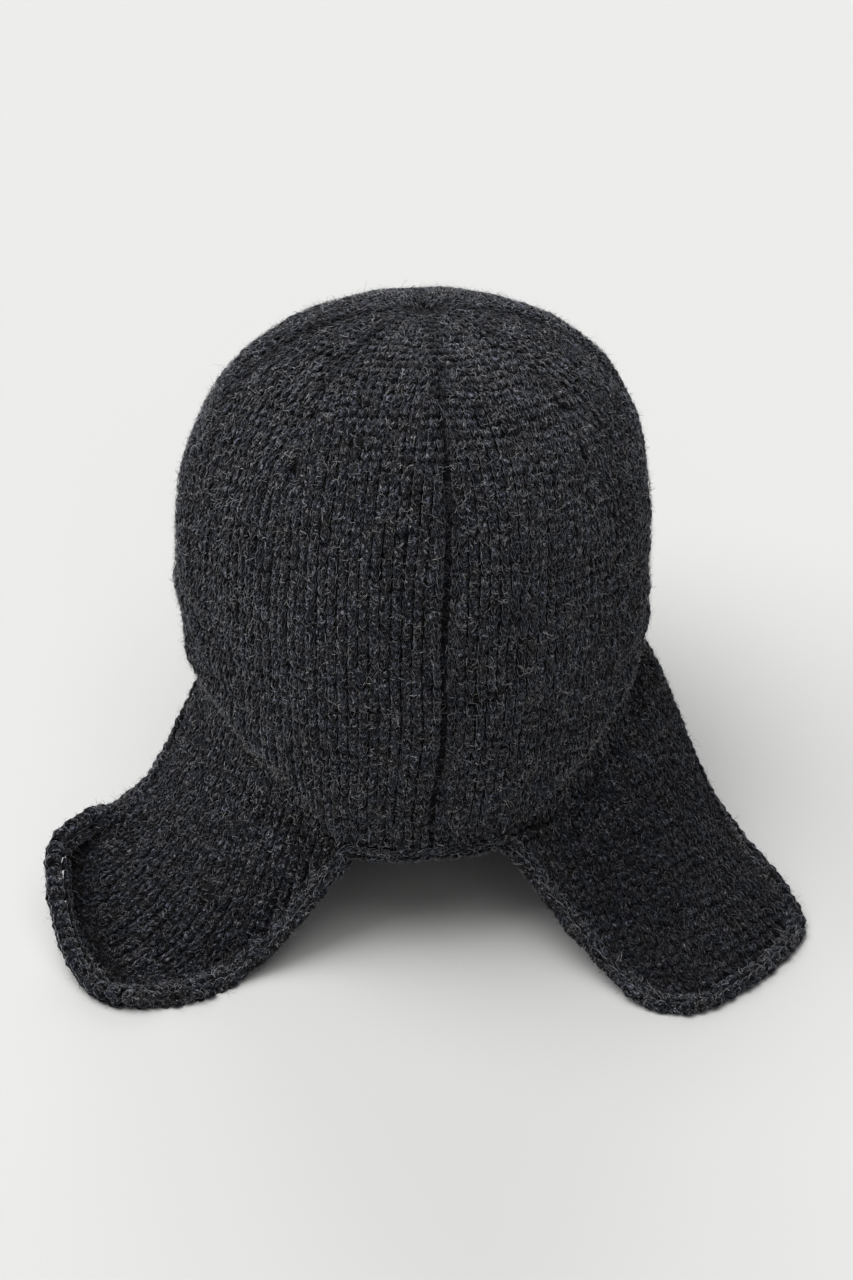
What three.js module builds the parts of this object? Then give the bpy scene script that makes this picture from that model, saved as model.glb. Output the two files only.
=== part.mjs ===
// Knit earflap cap, stuffed and stood on its brow with both earflaps splayed out and back.
// Units are millimetres and degrees, +Z is up, the nape (back hem) faces -Y and the face opening +Y.
// The origin is on the ground under the middle of the cap's bounding box.

import * as THREE from 'three';
import { mergeVertices } from 'three/addons/utils/BufferGeometryUtils.js';

// Driving dimensions of the crown, a rounded dome in its own leaning frame
const crown = {
  halfWidth: 95.5,
  backDepth: 98,
  frontDepth: 92,
  rise: 103,
  roundness: 2.6,
  tipShift: 5,
  knitTurn: 3,
  lean: 18,
  roll: 1.5,
  middle: new THREE.Vector3(1.8, 30.5, 113.8),
};

// Knitted cloth and the border worked round its free edge
const cloth = { thickness: 4, gap: 0.3, rootGap: 0.8 };
const border = {
  width: 6.2,
  proud: 0.7,
  under: 0.4,
  cornerGap: 2.2,
  jointGap: 0.6,
  widestMitre: 1.35,
  bunchedMitre: 1.1,
  sharpTurn: 0.25,
};

// Dents of the crown: the sewn back seam, the two deep decrease lines and the gathered tip
const seam = { depth: 1.6, halfWidth: 1.8, fadeIn: 0.1 };
const decrease = { angle: 84, depth: 2.2, halfWidth: 7, from: 0.06, fadeIn: 0.12, to: 0.8, fadeOut: 0.5 };
const tip = { depth: 2.5, radius: 9 };

// Lower edge of the crown, one row for each change round the head, angles from the back seam.
// edge: height of the lower edge; tuck: share by which the wall draws in 100 mm below the middle;
// crease: height where the wall starts to flare into a flap; flare: how strongly it does, where 1
// leads 5 mm outward 20 mm below the crease.
const tuckDrop = 100;
const flareDrop = 20;
const flareOut = 5;
const rim = [
  { angle: -180, edge: -89, tuck: 0.10, crease: -95, flare: 0 },
  { angle: -165, edge: -90.3, tuck: 0.12, crease: -95, flare: 0 },
  { angle: -150, edge: -88, tuck: 0.16, crease: -90, flare: 0 },
  { angle: -126, edge: -71, tuck: 0.26, crease: -75, flare: 0 },
  { angle: -102, edge: -57, tuck: 0.36, crease: -42, flare: 0.7 },
  { angle: -84, edge: -62, tuck: 0.38, crease: -42, flare: 1.0 },
  { angle: -54, edge: -80, tuck: 0.28, crease: -58, flare: 1.1 },
  { angle: -36, edge: -91, tuck: 0.22, crease: -76, flare: 0.8 },
  { angle: -24, edge: -95, tuck: 0.19, crease: -90, flare: 0 },
  { angle: 0, edge: -94.5, tuck: 0.18, crease: -95, flare: 0 },
  { angle: 24, edge: -93, tuck: 0.20, crease: -90, flare: 0 },
  { angle: 42, edge: -87, tuck: 0.24, crease: -72, flare: 0.8 },
  { angle: 60, edge: -70, tuck: 0.28, crease: -52, flare: 1.0 },
  { angle: 84, edge: -50, tuck: 0.34, crease: -32, flare: 1.0 },
  { angle: 102, edge: -42, tuck: 0.32, crease: -28, flare: 0.8 },
  { angle: 126, edge: -66, tuck: 0.24, crease: -70, flare: 0 },
  { angle: 150, edge: -86.5, tuck: 0.16, crease: -90, flare: 0 },
  { angle: 165, edge: -90.3, tuck: 0.12, crease: -95, flare: 0 },
  { angle: 180, edge: -89, tuck: 0.10, crease: -95, flare: 0 },
];

// Each earflap runs from its root on the crown's edge to its end near the ground.
// The three rows of reach are its back edge, its middle and its front edge.
// pull: how long it follows the crown; splay: how far it turns out there;
// x, y, z: where the cloth ends; alongX, alongY, alongZ: which way it runs there; push: how long.
// corners: radius of the rounded back and front end corners, as shares of the flap's width and length.
// curl: how far the end border turns up, at the back corner, the middle and the front corner.
const flaps = {
  right: {
    side: 1,
    from: 24,
    to: 102,
    reach: [
      {
        pull: 52, splay: 1.07, x: 91.5, y: -124.1, z: 3.2,
        alongX: 0.70, alongY: -0.50, alongZ: 0.00, push: 83,
      },
      {
        pull: 56, splay: 0.46, x: 122.4, y: -107.4, z: 3.6,
        alongX: 0.62, alongY: -0.62, alongZ: -0.25, push: 58,
      },
      {
        pull: 81, splay: 1.19, x: 148.1, y: -79.2, z: 3.2,
        alongX: 0.66, alongY: -0.66, alongZ: -0.36, push: 195,
      },
    ],
    corners: { backAcross: 0.18, backAlong: 0.17, frontAcross: 0.12, frontAlong: 0.14 },
    curl: [5, 15, 20],
  },
  left: {
    side: -1,
    from: -24,
    to: -102,
    reach: [
      {
        pull: 86, splay: 1.12, x: -119.9, y: -98.6, z: 3.2,
        alongX: -0.99, alongY: -0.10, alongZ: 0.15, push: 164,
      },
      {
        pull: 53, splay: 0.09, x: -139.1, y: -77.2, z: 7.0,
        alongX: -0.95, alongY: -0.18, alongZ: -0.10, push: 111,
      },
      {
        pull: 73, splay: 0.79, x: -144.3, y: -35.6, z: 28.9,
        alongX: -0.93, alongY: -0.20, alongZ: 0.10, push: 124,
      },
    ],
    corners: { backAcross: 0.15, backAlong: 0.18, frontAcross: 0.09, frontAlong: 0.11 },
    curl: [10, 55, 40],
  },
};

// How finely the faceted solids follow the shape. On a flap's side the border's first step from the
// root is longer than the others, clear of the mitre in that corner.
const crownColumnStep = 6;
const seamColumns = [-3.2, -1.6, 1.6, 3.2];
const crownRows = [0, 0.06, 0.14, 0.24, 0.36, 0.5, 0.65, 0.8, 0.93, 1.07, 1.2, 1.35, 1.5, 1.65, 1.8, 1.9, 2];
const flapRows = 14;
const cornerColumns = [0.012, 0.035, 0.965, 0.988];
const columnsAcrossFlap = 13;
const borderStepsAlongFlap = 14;
const firstBorderStep = 1.6;
const borderPlacesAcrossEnd = [
  0.012, 0.035, 0.08, 0.15, 0.25, 0.36, 0.48, 0.6, 0.72, 0.84, 0.93, 0.965, 0.988,
];

// Shares of a flap's length: where its normal has left the crown's, where its end curl begins and
// ends, and how far the border keeps its wider gap from the corner at the root
const rootBlend = 0.15;
const curlFrom = 0.8;
const rootCornerLength = 0.25;

// Just above the crown's lower edge, to read which way the wall runs there
const nearEdge = 1.985;

const radians = THREE.MathUtils.degToRad;

// Eased 0 to 1 ramp
function ease(x) {
  const t = THREE.MathUtils.clamp(x, 0, 1);
  return t * t * (3 - 2 * t);
}

// A smooth curve through the rim rows: cubic pieces whose slopes come from the rows on either side
function rimValue(angle, column) {
  const last = rim.length - 1;
  let k = 0;
  while (k < last - 1 && angle > rim[k + 1].angle) k += 1;
  const before = rim[Math.max(k - 1, 0)];
  const a = rim[k];
  const b = rim[k + 1];
  const after = rim[Math.min(k + 2, last)];
  const width = b.angle - a.angle;
  const slopeA = (b[column] - before[column]) / (b.angle - before.angle);
  const slopeB = (after[column] - a[column]) / (after.angle - a.angle);
  const t = (angle - a.angle) / width;
  return a[column] * (2 * t ** 3 - 3 * t ** 2 + 1)
    + slopeA * width * (t ** 3 - 2 * t ** 2 + t)
    + b[column] * (3 * t ** 2 - 2 * t ** 3)
    + slopeB * width * (t ** 3 - t ** 2);
}

// How far the wall is dented inward by the seam and the two deep decrease lines
function dentDepth(angle, down, radius) {
  const groove = seam.depth * Math.exp(-((radians(angle) * radius / seam.halfWidth) ** 2));
  const fold = ease((down - decrease.from) / decrease.fadeIn)
    * ease((decrease.to - down) / decrease.fadeOut);
  const away = radians(Math.abs(angle) - decrease.angle) * radius / decrease.halfWidth;
  return groove * ease(down / seam.fadeIn) + decrease.depth * fold * Math.exp(-(away ** 2));
}

// A point of the crown's outer face. angle runs round from the back seam,
// down runs from 0 at the tip through 1 at the widest level to 2 at the lower edge.
function crownPoint(angle, down) {
  const below = down > 1;
  const swing = radians(Math.min(down, 1) * 90);
  const height = below
    ? rimValue(angle, 'edge') * (down - 1)
    : crown.rise * Math.max(Math.cos(swing), 0) ** (2 / crown.roundness);
  const share = below
    ? 1 - rimValue(angle, 'tuck') * (height / tuckDrop) ** 2
    : Math.sin(swing) ** (2 / crown.roundness);
  const turned = radians(angle + crown.knitTurn * Math.sin(down * Math.PI / 2));
  const depth = Math.cos(turned) > 0 ? crown.backDepth : crown.frontDepth;
  const past = below ? Math.max(rimValue(angle, 'crease') - height, 0) : 0;
  const flare = flareOut * rimValue(angle, 'flare') * (past / flareDrop) ** 2;
  const out = flare - dentDepth(angle, down, crown.halfWidth * share);
  const tipLean = crown.tipShift * (Math.max(height, 0) / crown.rise) ** 1.5;
  const radius = crown.halfWidth * share;
  const sink = tip.depth * Math.exp(-((radius / tip.radius) ** 2));
  const point = new THREE.Vector3(
    radius * Math.sin(turned) + tipLean + out * Math.sin(turned),
    -depth * share * Math.cos(turned) - out * Math.cos(turned),
    height - sink,
  );
  point.applyAxisAngle(new THREE.Vector3(0, 1, 0), radians(crown.roll));
  point.applyAxisAngle(new THREE.Vector3(1, 0, 0), radians(-crown.lean));
  return point.add(crown.middle);
}

// A value that passes through three rows at 0, a half and 1
function threeRows(rows, column, across) {
  return rows[0][column] * (1 - across) * (1 - 2 * across)
    + rows[1][column] * 4 * across * (1 - across)
    + rows[2][column] * across * (2 * across - 1);
}

// Share of the flap's length cut away where its end corners are rounded off
function cornerCut(flap, across) {
  const { backAcross, backAlong, frontAcross, frontAlong } = flap.corners;
  const back = Math.max(1 - across / backAcross, 0);
  const front = Math.max(1 - (1 - across) / frontAcross, 0);
  return backAlong * (1 - Math.sqrt(1 - back ** 2)) + frontAlong * (1 - Math.sqrt(1 - front ** 2));
}

// A point of an earflap's outer face: across runs from the back edge to the front edge, along from
// the root to the end. Each line along the flap is one cubic that leaves the crown in its direction.
function flapPoint(flap, across, along) {
  const angle = THREE.MathUtils.lerp(flap.from, flap.to, across);
  const root = crownPoint(angle, 2);
  const leave = root.clone().sub(crownPoint(angle, nearEdge)).normalize();
  leave.x += flap.side * threeRows(flap.reach, 'splay', across);
  leave.setLength(threeRows(flap.reach, 'pull', across));
  const end = new THREE.Vector3(...['x', 'y', 'z'].map((c) => threeRows(flap.reach, c, across)));
  const arrive = new THREE.Vector3(
    ...['alongX', 'alongY', 'alongZ'].map((c) => threeRows(flap.reach, c, across)),
  );
  arrive.setLength(threeRows(flap.reach, 'push', across));
  const t = along * (1 - cornerCut(flap, across) * along ** 2);
  return root.multiplyScalar(2 * t ** 3 - 3 * t ** 2 + 1)
    .addScaledVector(leave, t ** 3 - 2 * t ** 2 + t)
    .addScaledVector(end, 3 * t ** 2 - 2 * t ** 3)
    .addScaledVector(arrive, t ** 3 - t ** 2);
}

// Outward normal of a surface of two parameters, from its slopes on either side of the place
function slopeNormal(surface, a, b, stepA, stepB, turn) {
  const alongA = surface(a + stepA, b).sub(surface(a - stepA, b));
  const alongB = surface(a, b + stepB).sub(surface(a, b - stepB));
  return alongA.cross(alongB).multiplyScalar(turn).normalize();
}

function crownNormal(angle, down) {
  return slopeNormal(crownPoint, angle, THREE.MathUtils.clamp(down, 0.03, nearEdge), 0.5, 0.015, -1);
}

// The flap's normal, turned from the crown's at the root so that the two walls butt squarely
function flapNormal(flap, across, along) {
  const surface = (a, b) => flapPoint(flap, a, b);
  const inside = THREE.MathUtils.clamp(across, 0.004, 0.996);
  const before = THREE.MathUtils.clamp(along, 0.01, 0.99);
  const own = slopeNormal(surface, inside, before, 0.004, 0.01, -flap.side);
  const root = crownNormal(THREE.MathUtils.lerp(flap.from, flap.to, across), 2);
  return root.lerp(own, ease(along / rootBlend)).normalize();
}

// Nothing reaches below the ground: what would is pressed flat on it
function pressed(point) {
  point.z = Math.max(point.z, 0);
  return point;
}

// One closed geometry from a list of triangles of points, left out where two corners coincide
function solidFrom(triangles) {
  const positions = [];
  for (const triangle of triangles) {
    const [a, b, c] = triangle;
    const open = a.distanceTo(b) > 1e-4 && b.distanceTo(c) > 1e-4 && c.distanceTo(a) > 1e-4;
    if (open) triangle.forEach((p) => positions.push(p.x, p.y, p.z));
  }
  const geometry = new THREE.BufferGeometry();
  geometry.setAttribute('position', new THREE.Float32BufferAttribute(positions, 3));
  return mergeVertices(geometry, 1e-4);
}

function addQuad(triangles, a, b, c, d) {
  triangles.push([a, b, c], [a, c, d]);
}

// Wall between an outer and an inner grid of points, rows by columns. A round wall closes on itself
// from its last column to its first; a flat one gets side strips. Its first row may be a single tip.
function wallTriangles(outer, inner, round, flip) {
  const triangles = [];
  const rows = outer.length;
  const columns = outer[0].length;
  const spans = round ? columns : columns - 1;
  for (let j = 0; j < spans; j += 1) {
    const k = (j + 1) % columns;
    for (let i = 0; i + 1 < rows; i += 1) {
      addQuad(triangles, outer[i][j], outer[i + 1][j], outer[i + 1][k], outer[i][k]);
      addQuad(triangles, inner[i][j], inner[i][k], inner[i + 1][k], inner[i + 1][j]);
    }
    addQuad(triangles, outer[rows - 1][j], inner[rows - 1][j], inner[rows - 1][k], outer[rows - 1][k]);
    if (!round) addQuad(triangles, outer[0][k], inner[0][k], inner[0][j], outer[0][j]);
  }
  for (let i = 0; !round && i + 1 < rows; i += 1) {
    const last = columns - 1;
    addQuad(triangles, outer[i][0], inner[i][0], inner[i + 1][0], outer[i + 1][0]);
    addQuad(triangles, outer[i + 1][last], inner[i + 1][last], inner[i][last], outer[i][last]);
  }
  return flip ? triangles.map(([a, b, c]) => [a, c, b]) : triangles;
}

function crownAngles() {
  const angles = [...seamColumns];
  for (let angle = -180; angle < 180; angle += crownColumnStep) angles.push(angle);
  return angles.sort((a, b) => a - b);
}

function crownGeometry() {
  const angles = crownAngles();
  const outer = crownRows.map((down) => angles.map((angle) => crownPoint(angle, down)));
  const inner = crownRows.map((down, i) => angles.map((angle, j) => (
    pressed(outer[i][j].clone().addScaledVector(
      down === 0 ? crownAxis() : crownNormal(angle, down),
      -cloth.thickness,
    ))
  )));
  return solidFrom(wallTriangles(outer, inner, true, false));
}

// The way the tip points
function crownAxis() {
  return new THREE.Vector3(0, 0, 1)
    .applyAxisAngle(new THREE.Vector3(0, 1, 0), radians(crown.roll))
    .applyAxisAngle(new THREE.Vector3(1, 0, 0), radians(-crown.lean));
}

function flapGeometry(flap) {
  const columns = [...cornerColumns];
  for (let k = 0; k <= columnsAcrossFlap; k += 1) columns.push(k / columnsAcrossFlap);
  columns.sort((a, b) => a - b);
  const outer = [];
  const inner = [];
  for (let i = 0; i <= flapRows; i += 1) {
    const points = columns.map((across) => {
      const clear = cloth.rootGap / threeRows(flap.reach, 'pull', across);
      return { across, along: Math.max(i / flapRows, clear) };
    });
    outer.push(points.map(({ across, along }) => flapPoint(flap, across, along)));
    inner.push(points.map(({ across, along }, j) => pressed(
      outer[i][j].clone().addScaledVector(flapNormal(flap, across, along), -cloth.thickness),
    )));
  }
  return solidFrom(wallTriangles(outer, inner, false, flap.side < 0));
}

// The cap's free edge as one closed loop of places, each with the cloth's normal and the border's curl
function edgeLoop() {
  const loop = [];
  const { right, left } = flaps;
  const brow = 180 - crownColumnStep;
  const addCrown = (piece, from, to) => {
    for (let angle = from; angle <= to; angle += crownColumnStep) {
      const fromCorner = Math.min(Math.abs(angle - from), Math.abs(to - angle)) / crownColumnStep;
      const nearCorner = Math.abs(angle) < brow ? 1 - ease(fromCorner / 2) : 0;
      loop.push({ piece, point: crownPoint(angle, 2), normal: crownNormal(angle, 2), curl: 0, nearCorner });
    }
  };
  const addFlap = (piece, flap, across, along) => {
    const curl = threeRows(flap.curl.map((value) => ({ value })), 'value', across);
    loop.push({
      piece,
      point: flapPoint(flap, across, along),
      normal: flapNormal(flap, across, along),
      curl: radians(curl) * ease((along - curlFrom) / (1 - curlFrom)),
      nearCorner: 1 - ease(along / rootCornerLength),
    });
  };
  const steps = (count) => Array.from({ length: count }, (_, k) => (
    (k + firstBorderStep) / (count - 1 + firstBorderStep)
  ));
  addCrown('back', left.from, right.from);
  steps(borderStepsAlongFlap).forEach((t) => addFlap('right', right, 0, t));
  borderPlacesAcrossEnd.forEach((across) => addFlap('right', right, across, 1));
  steps(borderStepsAlongFlap).reverse().forEach((t) => addFlap('right', right, 1, t));
  addCrown('front', right.to, 180);
  addCrown('front', -brow, left.to);
  steps(borderStepsAlongFlap).forEach((t) => addFlap('left', left, 1, t));
  [...borderPlacesAcrossEnd].reverse().forEach((across) => addFlap('left', left, across, 1));
  steps(borderStepsAlongFlap).reverse().forEach((t) => addFlap('left', left, 0, t));
  return loop;
}

// Which way the border stands off the cloth at each place of the loop, square to the edge on both
// sides of a bend, so that bends are mitred. Where the edge bends sharply towards the border, as in
// the corners at the roots, the knitting bunches up and the mitre is cut short.
function borderDirections(loop) {
  const count = loop.length;
  return loop.map((place, k) => {
    const before = place.point.clone().sub(loop[(k + count - 1) % count].point).normalize();
    const after = loop[(k + 1) % count].point.clone().sub(place.point).normalize();
    const along = before.clone().add(after).normalize();
    const out = along.clone().cross(place.normal).normalize();
    const up = out.clone().cross(along).normalize();
    const stretch = Math.sqrt(2 / Math.max(1 + before.dot(after), 0.1));
    const bunched = after.clone().sub(before).dot(out) > border.sharpTurn;
    return {
      along,
      out: out.clone().multiplyScalar(Math.cos(place.curl)).addScaledVector(up, Math.sin(place.curl)),
      up: up.clone().multiplyScalar(Math.cos(place.curl)).addScaledVector(out, -Math.sin(place.curl)),
      mitre: Math.min(stretch, bunched ? border.bunchedMitre : border.widestMitre),
    };
  });
}

// Rounded section of the border: eight points given as shares of its width and thickness
const borderSection = [
  { out: 0, up: 0.82 }, { out: 0.25, up: 1 }, { out: 0.7, up: 1 }, { out: 1, up: 0.7 },
  { out: 1, up: 0.3 }, { out: 0.7, up: 0 }, { out: 0.25, up: 0 }, { out: 0, up: 0.12 },
];

// One length of the border, from its first place on the loop to its last
function borderGeometry(loop, directions, places) {
  const sections = places.map((k, n) => {
    const { point, nearCorner } = loop[k];
    const standOff = THREE.MathUtils.lerp(cloth.gap, border.cornerGap, nearCorner);
    const { along, out, up, mitre } = directions[k];
    const inward = n === 0 ? 1 : n === places.length - 1 ? -1 : 0;
    const base = point.clone().addScaledVector(along, inward * border.jointGap / 2);
    const thick = cloth.thickness + border.proud + border.under;
    return borderSection.map((corner) => pressed(
      base.clone()
        .addScaledVector(out, mitre * (standOff + corner.out * border.width))
        .addScaledVector(up, border.proud - thick * (1 - corner.up)),
    ));
  });
  const triangles = [];
  const corners = borderSection.length;
  for (let n = 0; n + 1 < sections.length; n += 1) {
    for (let c = 0; c < corners; c += 1) {
      const d = (c + 1) % corners;
      addQuad(triangles, sections[n][c], sections[n][d], sections[n + 1][d], sections[n + 1][c]);
    }
  }
  const first = sections[0];
  const last = sections[sections.length - 1];
  for (let c = 1; c + 1 < corners; c += 1) {
    triangles.push([first[0], first[c + 1], first[c]], [last[0], last[c], last[c + 1]]);
  }
  return solidFrom(triangles);
}

// Places of the loop that one length of the border runs over, with the shared place at each end
function placesOf(loop, piece) {
  const own = loop.map((place, k) => k).filter((k) => loop[k].piece === piece);
  const count = loop.length;
  if (piece === 'back' || piece === 'front') return own;
  return [(own[0] + count - 1) % count, ...own, (own[own.length - 1] + 1) % count];
}

function woolMaterial(color) {
  return new THREE.MeshStandardMaterial({ color, roughness: 0.95, metalness: 0 });
}

function named(name, geometry, material) {
  const mesh = new THREE.Mesh(geometry, material);
  mesh.name = name;
  return mesh;
}

const charcoalKnit = 0x2c2d31;
const charcoalFlap = 0x26272b;
const charcoalBorder = 0x303136;

const loop = edgeLoop();
const directions = borderDirections(loop);
const knitCap = new THREE.Group();
knitCap.add(
  named('crown', crownGeometry(), woolMaterial(charcoalKnit)),
  named('earflap_left', flapGeometry(flaps.left), woolMaterial(charcoalFlap)),
  named('earflap_right', flapGeometry(flaps.right), woolMaterial(charcoalFlap)),
);
for (const piece of ['back', 'right', 'front', 'left']) {
  const geometry = borderGeometry(loop, directions, placesOf(loop, piece));
  knitCap.add(named(`edge_band_${piece}`, geometry, woolMaterial(charcoalBorder)));
}

export default knitCap;
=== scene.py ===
# Knit earflap cap in charcoal heather wool: a domed crown with a sewn back seam, two splayed
# earflaps knitted on to it, and a narrow border worked all round the free edge. Metres, +Z up.
# The nape faces -Y and the face opening +Y, and the cap stands on its brow and its flap ends.

import bpy
import numpy as np
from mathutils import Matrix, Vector


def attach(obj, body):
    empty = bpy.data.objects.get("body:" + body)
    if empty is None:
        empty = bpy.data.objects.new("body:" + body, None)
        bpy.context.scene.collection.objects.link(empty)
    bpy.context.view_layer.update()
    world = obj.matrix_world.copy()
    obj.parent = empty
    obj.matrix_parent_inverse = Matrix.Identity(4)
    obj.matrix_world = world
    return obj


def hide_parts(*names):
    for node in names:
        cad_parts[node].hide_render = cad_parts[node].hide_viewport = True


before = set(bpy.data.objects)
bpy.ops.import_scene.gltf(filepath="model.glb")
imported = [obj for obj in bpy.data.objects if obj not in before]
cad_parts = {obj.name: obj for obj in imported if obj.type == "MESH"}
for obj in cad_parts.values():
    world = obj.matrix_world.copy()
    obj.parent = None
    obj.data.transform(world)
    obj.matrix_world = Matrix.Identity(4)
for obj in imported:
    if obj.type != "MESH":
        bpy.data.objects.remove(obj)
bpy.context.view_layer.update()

# The crown is the rounded head part, knitted from the lower edge up in plain stocking stitch out
# of one thick woollen yarn. Its back edges are sewn together, which leaves a narrow groove, and
# the rows narrow along eight lines that meet at the gathered tip.

crown_half_width = 0.0955
crown_back_depth = 0.098
crown_front_depth = 0.092
crown_rise = 0.103
crown_roundness = 2.6
crown_tip_shift = 0.005
crown_knit_turn = 3.0
crown_lean = np.radians(-18.0)
crown_roll = np.radians(1.5)
crown_middle = np.array([0.0018, 0.0305, 0.1138])

cloth_thickness = 0.004
seam_depth = 0.0016
seam_half_width = 0.0018
seam_wobble = 0.45
fold_angle = 84.0
fold_depth = 0.0022
fold_half_width = 0.007
tip_depth = 0.0025
tip_radius = 0.009
gather_angles = (-131.0, -41.0, 41.0, 131.0)
gather_depth = 0.0015
gather_half_width = 0.0045
roll_height = 0.0020
roll_dent = 0.0018
lump_height = 0.0007
above_edge = 1.985

# Lower edge of the crown, one row for each change round the head, angles from the back seam
rim = np.array(
    [
        (-180, -0.0890, 0.10, -0.095, 0.0),
        (-165, -0.0903, 0.12, -0.095, 0.0),
        (-150, -0.0880, 0.16, -0.090, 0.0),
        (-126, -0.0710, 0.26, -0.075, 0.0),
        (-102, -0.0570, 0.36, -0.042, 0.7),
        (-84, -0.0620, 0.38, -0.042, 1.0),
        (-54, -0.0800, 0.28, -0.058, 1.1),
        (-36, -0.0910, 0.22, -0.076, 0.8),
        (-24, -0.0950, 0.19, -0.090, 0.0),
        (0, -0.0945, 0.18, -0.095, 0.0),
        (24, -0.0930, 0.20, -0.090, 0.0),
        (42, -0.0870, 0.24, -0.072, 0.8),
        (60, -0.0700, 0.28, -0.052, 1.0),
        (84, -0.0500, 0.34, -0.032, 1.0),
        (102, -0.0420, 0.32, -0.028, 0.8),
        (126, -0.0660, 0.24, -0.070, 0.0),
        (150, -0.0865, 0.16, -0.090, 0.0),
        (165, -0.0903, 0.12, -0.095, 0.0),
        (180, -0.0890, 0.10, -0.095, 0.0),
    ],
    dtype=[("angle", float), ("edge", float), ("tuck", float), ("crease", float), ("flare", float)],
)


def ease(x):
    """Smooth ramp from 0 to 1: three x squared less two x cubed."""
    t = np.clip(x, 0, 1)
    return t * t * (3 - 2 * t)


def unit(vectors):
    """Each vector divided by its length."""
    return vectors / np.maximum(np.linalg.norm(vectors, axis=-1, keepdims=True), 1e-12)


def cubic(start, leave, end, arrive, t):
    """The curve of third degree from start to end that has the given slopes at its two ends."""
    return (
        start * (2 * t**3 - 3 * t**2 + 1)
        + leave * (t**3 - 2 * t**2 + t)
        + end * (3 * t**2 - 2 * t**3)
        + arrive * (t**3 - t**2)
    )


def rim_value(angle, column):
    """One column of the rim at any angle: cubic pieces whose slopes come from the rows on either side."""
    last = len(rim) - 1
    k = np.clip(np.searchsorted(rim["angle"], angle, side="left") - 1, 0, last - 1)
    before, after = np.maximum(k - 1, 0), np.minimum(k + 2, last)
    value, place = rim[column], rim["angle"]
    width = place[k + 1] - place[k]
    slope_a = (value[k + 1] - value[before]) / (place[k + 1] - place[before])
    slope_b = (value[after] - value[k]) / (place[after] - place[k])
    t = (angle - place[k]) / width
    return cubic(value[k], slope_a * width, value[k + 1], slope_b * width, t)


def turned(points, axis, angle):
    """Points turned about X (axis 0) or Y (axis 1) by the right-hand rule."""
    x, y, z = points[..., 0], points[..., 1], points[..., 2]
    c, s = np.cos(angle), np.sin(angle)
    if axis == 0:
        return np.stack([x, c * y - s * z, s * y + c * z], -1)
    return np.stack([c * x + s * z, y, c * z - s * x], -1)


def bell(x):
    """Bell curve of height 1: e to the power of less x squared."""
    return np.exp(-(x**2))


def crown_point(angle, down):
    """Outer face of the crown. Angle runs round from the back seam; down runs from 0 at the tip
    through 1 at the widest level to 2 at the lower edge. Above the widest level the upright section
    is a superellipse; below it the wall draws in with the square of the drop and flares towards
    the flaps. The seam, the folds and the gathers are bell curves taken off along the wall, the
    dome rolls out over each flap with a dent below it, and slow waves make the cloth lumpy."""
    angle, down = np.broadcast_arrays(np.asarray(angle, float), np.asarray(down, float))
    swing = np.radians(np.minimum(down, 1) * 90)
    high = crown_rise * np.maximum(np.cos(swing), 0) ** (2 / crown_roundness)
    height = np.where(down > 1, rim_value(angle, "edge") * (down - 1), high)
    drawn = 1 - rim_value(angle, "tuck") * (height / 0.1) ** 2
    share = np.where(down > 1, drawn, np.sin(swing) ** (2 / crown_roundness))
    wobble = seam_wobble * np.sin(9.4 * down + 0.6) * bell(angle / 15)
    turn = np.radians(angle + wobble + crown_knit_turn * np.sin(down * np.pi / 2))
    depth = np.where(np.cos(turn) > 0, crown_back_depth, crown_front_depth)
    radius = crown_half_width * share
    past = np.where(down > 1, np.maximum(rim_value(angle, "crease") - height, 0), 0)
    flare = 0.005 * rim_value(angle, "flare") * (past / 0.02) ** 2
    groove = seam_depth * bell(np.radians(angle) * radius / seam_half_width) * ease(down / 0.1)
    fold_length = ease((down - 0.06) / 0.12) * ease((0.8 - down) / 0.5)
    off_fold = np.radians(np.abs(angle) - fold_angle) * radius / fold_half_width
    out = flare - groove - fold_depth * fold_length * bell(off_fold)
    gather_length = gather_depth * ease(down / 0.12) * ease((0.62 - down) / 0.4)
    for place in gather_angles:
        out = out - gather_length * bell(np.radians(angle - place) * radius / gather_half_width)
    over_flap = np.where(down > 1, np.clip(rim_value(angle, "flare"), 0, 1), 0)
    drop = rim_value(angle, "crease") - height
    roll = roll_height * bell((drop + 0.005) / 0.008) - roll_dent * bell((drop - 0.008) / 0.0065)
    out = out + over_flap * roll
    lumps = np.sin(np.radians(7 * angle) + 5.1 * down) * np.sin(9.3 * down + np.radians(2 * angle))
    lumps = lumps + np.sin(np.radians(11 * angle) - 7.7 * down) * np.sin(14.1 * down + 1.3)
    out = out + lump_height * lumps * ease(down / 0.3) * ease((2 - down) / 0.15)
    tip_shift = crown_tip_shift * (np.maximum(height, 0) / crown_rise) ** 1.5
    x = (radius + out) * np.sin(turn) + tip_shift
    y = -depth * share * np.cos(turn) - out * np.cos(turn)
    z = height - tip_depth * bell(radius / tip_radius)
    points = turned(np.stack([x, y, z], -1), 1, crown_roll)
    return turned(points, 0, crown_lean) + crown_middle


def slope_normal(surface, a, b, step_a, step_b):
    """Unit normal of a surface of two parameters: the cross product of its two slopes."""
    along_a = surface(a + step_a, b) - surface(a - step_a, b)
    along_b = surface(a, b + step_b) - surface(a, b - step_b)
    return unit(np.cross(along_a, along_b))


def crown_normal(angle, down):
    """Outward normal of the crown."""
    return -slope_normal(crown_point, angle, np.clip(down, 0.03, above_edge), 0.5, 0.015)


# Stitches are laid out in wales, the upright columns, and in courses, the rounds.
# A gore is the cloth between two narrowing lines.
course_height = 0.0040
gore_edges = np.array([-180.0, -131.0, -84.0, -41.0, 0.0, 41.0, 84.0, 131.0, 180.0])
gore_wales = np.array([19, 18, 17, 16, 16, 17, 18, 19])

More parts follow.
